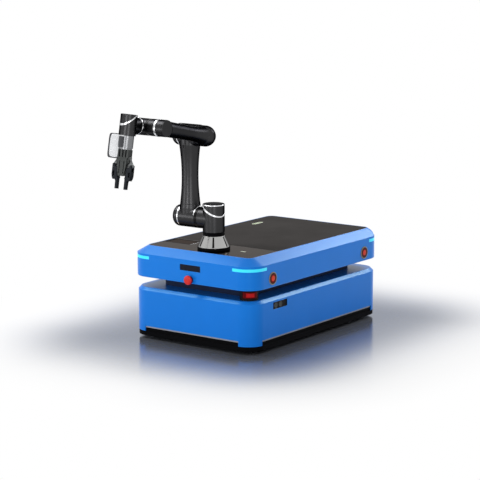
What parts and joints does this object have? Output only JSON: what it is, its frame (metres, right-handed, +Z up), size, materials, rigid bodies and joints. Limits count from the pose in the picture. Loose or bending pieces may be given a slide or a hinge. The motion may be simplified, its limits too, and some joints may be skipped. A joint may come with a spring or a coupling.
{
  "type": "autonomous mobile robot",
  "caption": "Low wheeled robot base with a flat payload deck, carrying a jointed arm with a camera and a two-finger gripper.",
  "frame": {"origin": "on the floor under the middle of the base", "axes": "+X towards the front with the stop button, +Y towards the base's left side, +Z up from the floor"},
  "size_m": [1.3683, 0.7058, 1.0781],
  "materials": {
    "blue_paint": "satin",
    "black_paint": "matte",
    "grey_rubber": "matte",
    "deck_black": "satin",
    "panel_gloss": "gloss",
    "light_cyan": "gloss",
    "screen_glass": "gloss",
    "pale_plastic": "satin",
    "bezel_grey": "satin",
    "black_gloss": "gloss",
    "signal_red": "gloss",
    "lamp_orange": "gloss",
    "lamp_ring": "gloss",
    "dark_plastic": "matte",
    "scanner_red": "gloss",
    "connector_beige": "matte",
    "wheel_rubber": "matte",
    "motor_metal": "satin",
    "steel": "satin",
    "battery_case": "matte",
    "arm_dark": "satin",
    "bright_aluminium": "brushed",
    "bright_ring": "polished",
    "camera_white": "satin",
    "adaptor_silver": "satin",
    "link_grey": "satin"
  },
  "bodies": {
    "base": {"lower_housing": "blue_paint", "chassis_plate": "black_paint", "bumper_strips": "grey_rubber", "neck_band": "black_paint", "upper_shell": "blue_paint", "led_strips": "light_cyan", "front_deck_panel": "panel_gloss", "payload_deck": "deck_black", "deck_pull": "pale_plastic", "display_bezel": "bezel_grey", "display_glass": "screen_glass", "deck_indicator": "pale_plastic", "front_sensor_window": "black_gloss", "lamp_bezels": "lamp_ring", "lamp_lenses": "lamp_orange", "lidar_housings": "dark_plastic", "lidar_windows": "scanner_red", "port_frame": "dark_plastic", "port_connectors": "connector_beige", "estop_collar": "dark_plastic", "drive_units": "motor_metal", "caster_turrets": "black_paint", "battery_pack": "battery_case", "control_box": "motor_metal", "arm_base_rings": "black_paint", "arm_base_cone": "bright_aluminium"},
    "estop_button": {"estop_button": "signal_red"},
    "drive_wheel_left": {"drive_wheel_left": "wheel_rubber"},
    "drive_wheel_right": {"drive_wheel_right": "wheel_rubber"},
    "caster_fork_front_left": {"caster_fork_front_left": "steel"},
    "caster_wheel_front_left": {"caster_wheel_front_left": "wheel_rubber"},
    "caster_fork_front_right": {"caster_fork_front_right": "steel"},
    "caster_wheel_front_right": {"caster_wheel_front_right": "wheel_rubber"},
    "caster_fork_rear_left": {"caster_fork_rear_left": "steel"},
    "caster_wheel_rear_left": {"caster_wheel_rear_left": "wheel_rubber"},
    "caster_fork_rear_right": {"caster_fork_rear_right": "steel"},
    "caster_wheel_rear_right": {"caster_wheel_rear_right": "wheel_rubber"},
    "shoulder": {"shoulder_housing": "arm_dark", "shoulder_cover": "arm_dark", "shoulder_trim": "bright_ring"},
    "upper_arm": {"upper_arm_casting": "arm_dark", "upper_arm_caps": "arm_dark", "upper_arm_trim": "bright_ring"},
    "forearm": {"forearm_casting": "arm_dark", "forearm_caps": "arm_dark", "forearm_trim": "bright_ring"},
    "wrist_1": {"wrist_1_housing": "arm_dark"},
    "wrist_2": {"wrist_2_housing": "arm_dark", "wrist_2_cover": "arm_dark", "wrist_2_trim": "bright_ring"},
    "tool": {"tool_adaptor": "adaptor_silver", "camera_body": "dark_plastic", "camera_covers": "camera_white", "gripper_body": "arm_dark"},
    "outer_link_left": {"outer_link_left": "arm_dark"},
    "inner_link_left": {"inner_link_left": "link_grey"},
    "finger_left": {"finger_left": "arm_dark"},
    "outer_link_right": {"outer_link_right": "arm_dark"},
    "inner_link_right": {"inner_link_right": "link_grey"},
    "finger_right": {"finger_right": "arm_dark"}
  },
  "joints": [
    {"name": "estop_press", "type": "slide", "parent": "base", "child": "estop_button", "axis": [-1, 0, 0], "range_m": [0, 0.005], "stiffness_N_per_m": 900, "springref_m": -0.002},
    {"name": "drive_wheel_left_spin", "type": "hinge", "parent": "base", "child": "drive_wheel_left", "pos_m": [0, 0.262, 0.075], "axis": [0, 1, 0], "continuous": true},
    {"name": "drive_wheel_right_spin", "type": "hinge", "parent": "base", "child": "drive_wheel_right", "pos_m": [0, -0.262, 0.075], "axis": [0, 1, 0], "continuous": true},
    {"name": "caster_front_left_swivel", "type": "hinge", "parent": "base", "child": "caster_fork_front_left", "pos_m": [0.398, 0.228, 0.104], "axis": [0, 0, 1], "continuous": true},
    {"name": "caster_front_left_roll", "type": "hinge", "parent": "caster_fork_front_left", "child": "caster_wheel_front_left", "pos_m": [0.376, 0.228, 0.036], "axis": [0, 1, 0], "continuous": true},
    {"name": "caster_front_right_swivel", "type": "hinge", "parent": "base", "child": "caster_fork_front_right", "pos_m": [0.398, -0.228, 0.104], "axis": [0, 0, 1], "continuous": true},
    {"name": "caster_front_right_roll", "type": "hinge", "parent": "caster_fork_front_right", "child": "caster_wheel_front_right", "pos_m": [0.376, -0.228, 0.036], "axis": [0, 1, 0], "continuous": true},
    {"name": "caster_rear_left_swivel", "type": "hinge", "parent": "base", "child": "caster_fork_rear_left", "pos_m": [-0.398, 0.228, 0.104], "axis": [0, 0, 1], "continuous": true},
    {"name": "caster_rear_left_roll", "type": "hinge", "parent": "caster_fork_rear_left", "child": "caster_wheel_rear_left", "pos_m": [-0.42, 0.228, 0.036], "axis": [0, 1, 0], "continuous": true},
    {"name": "caster_rear_right_swivel", "type": "hinge", "parent": "base", "child": "caster_fork_rear_right", "pos_m": [-0.398, -0.228, 0.104], "axis": [0, 0, 1], "continuous": true},
    {"name": "caster_rear_right_roll", "type": "hinge", "parent": "caster_fork_rear_right", "child": "caster_wheel_rear_right", "pos_m": [-0.42, -0.228, 0.036], "axis": [0, 1, 0], "continuous": true},
    {"name": "shoulder_pan", "type": "hinge", "parent": "base", "child": "shoulder", "pos_m": [0.37, 0.015, 0.504], "axis": [0, 0, 1], "range_deg": [-175, 175]},
    {"name": "shoulder_lift", "type": "hinge", "parent": "shoulder", "child": "upper_arm", "pos_m": [0.37, 0.015, 0.566], "axis": [0, 1, 0], "range_deg": [-98, 88]},
    {"name": "elbow_bend", "type": "hinge", "parent": "upper_arm", "child": "forearm", "pos_m": [0.37, 0.015, 0.942], "axis": [0, -1, 0], "range_deg": [-55, 155]},
    {"name": "wrist_1_bend", "type": "hinge", "parent": "forearm", "child": "wrist_1", "pos_m": [0.69279, 0.015, 1.01061], "axis": [0, -1, 0], "range_deg": [-88, 150]},
    {"name": "wrist_2_turn", "type": "hinge", "parent": "wrist_1", "child": "wrist_2", "pos_m": [0.78563, -0.137, 1.02532], "axis": [0.9877, 0, 0.1564], "range_deg": [-175, 175]},
    {"name": "wrist_3_turn", "type": "hinge", "parent": "wrist_2", "child": "tool", "pos_m": [0.79267, -0.13857, 0.9809], "axis": [0.1563, -0.0349, -0.9871], "range_deg": [-175, 175]},
    {"name": "gripper_outer_left", "type": "hinge", "parent": "tool", "child": "outer_link_left", "pos_m": [0.80813, -0.11601, 0.88327], "axis": [0.9877, 0, 0.1564], "range_deg": [-28, 31]},
    {"name": "gripper_inner_left", "type": "hinge", "parent": "tool", "child": "inner_link_left", "pos_m": [0.80992, -0.13242, 0.87197], "axis": [0.9877, 0, 0.1564], "range_deg": [-28.05, 31.05]},
    {"name": "gripper_finger_left", "type": "hinge", "parent": "outer_link_left", "child": "finger_left", "pos_m": [0.81389, -0.09325, 0.84688], "axis": [0.9877, 0, 0.1564], "range_deg": [-31.05, 28.05]},
    {"name": "gripper_outer_right", "type": "hinge", "parent": "tool", "child": "outer_link_right", "pos_m": [0.80785, -0.16798, 0.88506], "axis": [0.9877, 0, 0.1564], "range_deg": [-31.05, 28.05]},
    {"name": "gripper_inner_right", "type": "hinge", "parent": "tool", "child": "inner_link_right", "pos_m": [0.80981, -0.1524, 0.87266], "axis": [0.9877, 0, 0.1564], "range_deg": [-31.05, 28.05]},
    {"name": "gripper_finger_right", "type": "hinge", "parent": "outer_link_right", "child": "finger_right", "pos_m": [0.81335, -0.19324, 0.85033], "axis": [0.9877, 0, 0.1564], "range_deg": [-28.05, 31.05]}
  ],
  "couplings": [
    {"joint": "gripper_inner_left", "follows": "gripper_outer_left", "ratio": 1},
    {"joint": "gripper_finger_left", "follows": "gripper_outer_left", "ratio": -1},
    {"joint": "gripper_outer_right", "follows": "gripper_outer_left", "ratio": -1},
    {"joint": "gripper_inner_right", "follows": "gripper_outer_left", "ratio": -1},
    {"joint": "gripper_finger_right", "follows": "gripper_outer_left", "ratio": 1}
  ]
}
